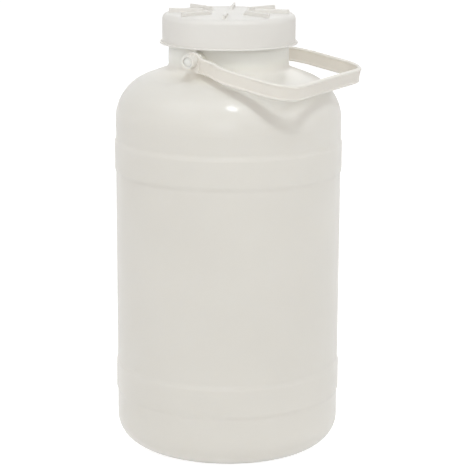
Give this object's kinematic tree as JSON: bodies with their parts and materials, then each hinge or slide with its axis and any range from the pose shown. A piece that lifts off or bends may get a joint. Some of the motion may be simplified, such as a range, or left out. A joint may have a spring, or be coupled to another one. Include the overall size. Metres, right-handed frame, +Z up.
{
  "type": "wide-mouth plastic drum",
  "caption": "Round natural plastic drum with raised bands, domed shoulder, wide neck, ribbed screw cap and a strap handle that swings on neck studs.",
  "frame": {"origin": "centre of the base, on the surface the drum stands on", "axes": "+Z up along the drum's axis, +X toward the folded handle's grip, Y along the line of the studs"},
  "size_m": [0.2022, 0.202, 0.3917],
  "materials": {
    "drum_plastic": "natural milky polyethylene, waxy satin",
    "handle_plastic": "natural polyethylene, satin",
    "cap_plastic": "natural polyethylene, satin",
    "liner_foam": "dull expanded polyethylene sheet"
  },
  "bodies": {
    "drum": {"drum_body": "drum_plastic"},
    "handle": {"carry_handle": "handle_plastic"},
    "liner": {"sealing_liner": "liner_foam"},
    "cap": {"screw_cap": "cap_plastic"}
  },
  "joints": [
    {"name": "handle_swing", "type": "hinge", "parent": "drum", "child": "handle", "pos_m": [0, 0, 0.35335], "axis": [0, -1, 0], "range_deg": [-4.7, 208.5]},
    {"name": "cap_lift", "type": "slide", "parent": "drum", "child": "liner", "axis": [0, 0, 1], "range_m": [0, 0.0151]},
    {"name": "cap_turn", "type": "hinge", "parent": "liner", "child": "cap", "pos_m": [0, 0, 0.372], "axis": [0, 0, 1], "range_deg": [0, 540]}
  ],
  "couplings": [
    {"joint": "cap_lift", "follows": "cap_turn", "m_per_rad": 0.0015915}
  ]
}
